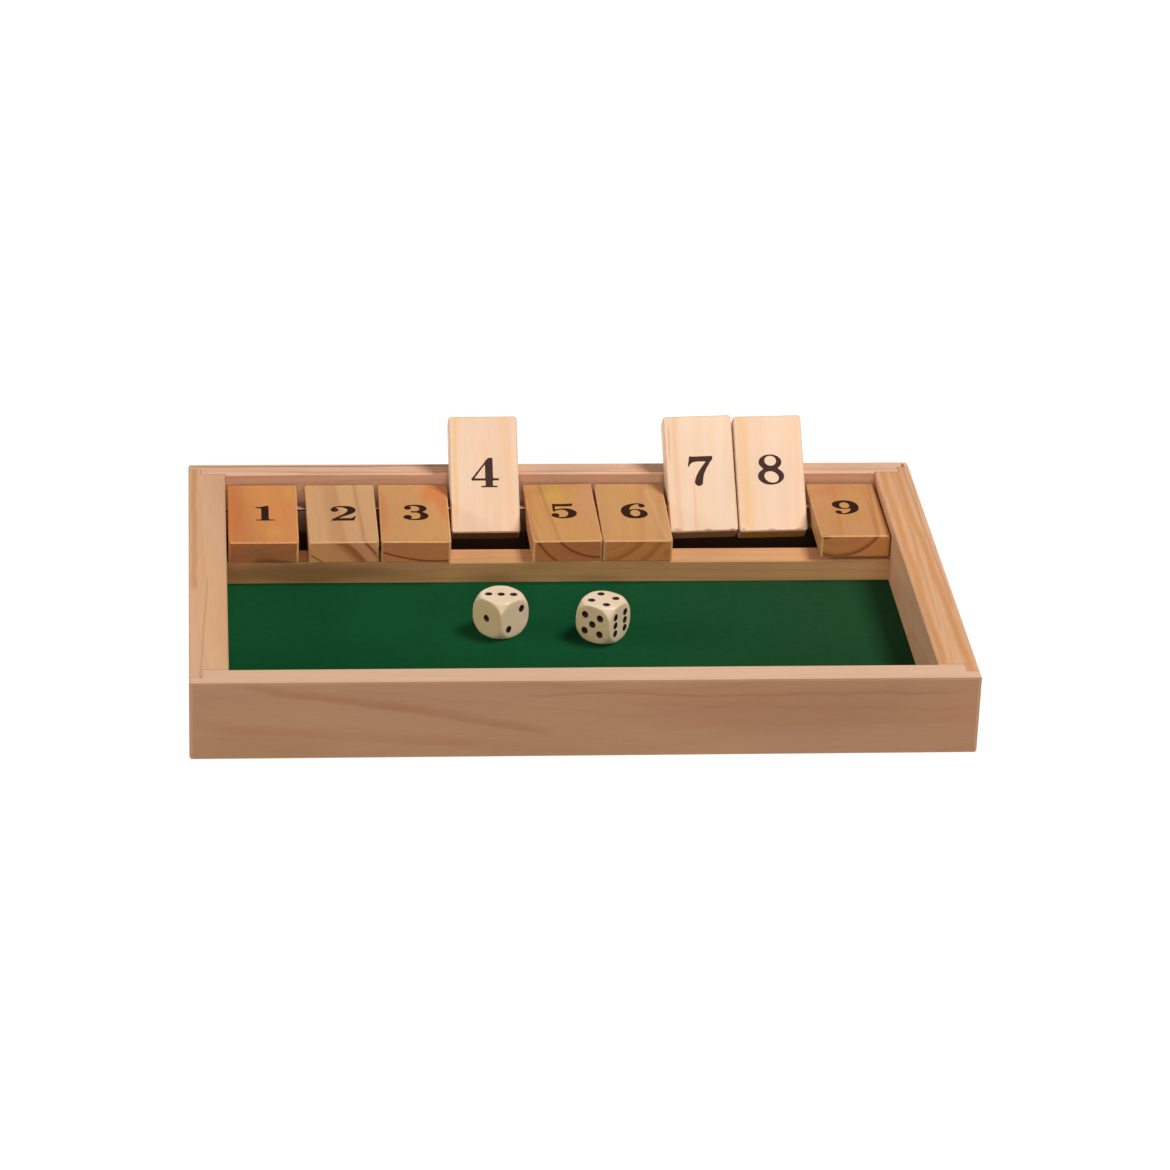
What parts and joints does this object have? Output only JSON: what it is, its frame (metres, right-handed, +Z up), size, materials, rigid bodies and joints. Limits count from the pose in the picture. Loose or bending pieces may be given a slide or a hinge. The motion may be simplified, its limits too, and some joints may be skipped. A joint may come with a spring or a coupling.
{
  "type": "shut the box game",
  "caption": "Open pine tray with a felt floor, a row of numbered wooden tiles that flip on a steel rod and rest on a low rail, and loose dice.",
  "frame": {"origin": "middle of the footprint of the tray and the raised tiles that lean out over its back, on the surface that the tray stands on", "axes": "+X along the row of tiles from the lowest number to the highest, +Y from the player to the tiles, +Z up"},
  "size_m": [0.3, 0.2046, 0.0544],
  "materials": {
    "rail_pine": "planed pine, satin clear coat",
    "stop_rail_pine": "planed pine, satin clear coat",
    "tile_pine_amber": "sanded pine, satin clear coat",
    "tile_pine_pale": "sanded pine, satin clear coat",
    "board_plywood": "raw thin plywood",
    "green_felt": "short pressed felt",
    "rod_steel": "drawn wire",
    "brad_steel": "plain wire brad",
    "die_ivory": "polished, ivory",
    "pip_paint": "paint in the dimples",
    "number_ink": "printed ink"
  },
  "bodies": {
    "tray": {"front_rail": "rail_pine", "back_rail": "rail_pine", "left_rail": "rail_pine", "right_rail": "rail_pine", "base_board": "board_plywood", "play_felt": "green_felt", "stop_rail": "stop_rail_pine", "hinge_rod": "rod_steel", "corner_brads": "brad_steel", "stop_rail_brads": "brad_steel"},
    "tile_1": {"tile_1": "tile_pine_amber"},
    "tile_2": {"tile_2": "tile_pine_amber"},
    "tile_3": {"tile_3": "tile_pine_amber"},
    "tile_4": {"tile_4": "tile_pine_pale"},
    "tile_5": {"tile_5": "tile_pine_amber"},
    "tile_6": {"tile_6": "tile_pine_amber"},
    "tile_7": {"tile_7": "tile_pine_pale"},
    "tile_8": {"tile_8": "tile_pine_pale"},
    "tile_9": {"tile_9": "tile_pine_amber"},
    "die_left": {"die_left": "die_ivory"},
    "die_right": {"die_right": "die_ivory"}
  },
  "joints": [
    {"name": "tile_1_flip", "type": "hinge", "parent": "tray", "child": "tile_1", "pos_m": [-0.1199, 0.0739, 0.0228], "axis": [-1, 0, 0], "range_deg": [0, 134.7]},
    {"name": "tile_2_flip", "type": "hinge", "parent": "tray", "child": "tile_2", "pos_m": [-0.0881, 0.0739, 0.0228], "axis": [-1, 0, 0], "range_deg": [0, 134.7]},
    {"name": "tile_3_flip", "type": "hinge", "parent": "tray", "child": "tile_3", "pos_m": [-0.0581, 0.0739, 0.0228], "axis": [-1, 0, 0], "range_deg": [0, 134.7]},
    {"name": "tile_4_flip", "type": "hinge", "parent": "tray", "child": "tile_4", "pos_m": [-0.0286, 0.0739, 0.0228], "axis": [-1, 0, 0], "range_deg": [-134.7, 0]},
    {"name": "tile_5_flip", "type": "hinge", "parent": "tray", "child": "tile_5", "pos_m": [0.0021, 0.0739, 0.0228], "axis": [-1, 0, 0], "range_deg": [0, 134.7]},
    {"name": "tile_6_flip", "type": "hinge", "parent": "tray", "child": "tile_6", "pos_m": [0.0315, 0.0739, 0.0228], "axis": [-1, 0, 0], "range_deg": [0, 134.7]},
    {"name": "tile_7_flip", "type": "hinge", "parent": "tray", "child": "tile_7", "pos_m": [0.0612, 0.0739, 0.0228], "axis": [-1, 0, 0], "range_deg": [-134.7, 0]},
    {"name": "tile_8_flip", "type": "hinge", "parent": "tray", "child": "tile_8", "pos_m": [0.0901, 0.0739, 0.0228], "axis": [-1, 0, 0], "range_deg": [-134.7, 0]},
    {"name": "tile_9_flip", "type": "hinge", "parent": "tray", "child": "tile_9", "pos_m": [0.1201, 0.0739, 0.0228], "axis": [-1, 0, 0], "range_deg": [-2.4, 132.3]},
    {"name": "die_left_lift", "type": "slide", "parent": "tray", "child": "die_left", "axis": [0, 0, 1], "range_m": [0, 0.05]},
    {"name": "die_right_lift", "type": "slide", "parent": "tray", "child": "die_right", "axis": [0, 0, 1], "range_m": [0, 0.05]}
  ]
}
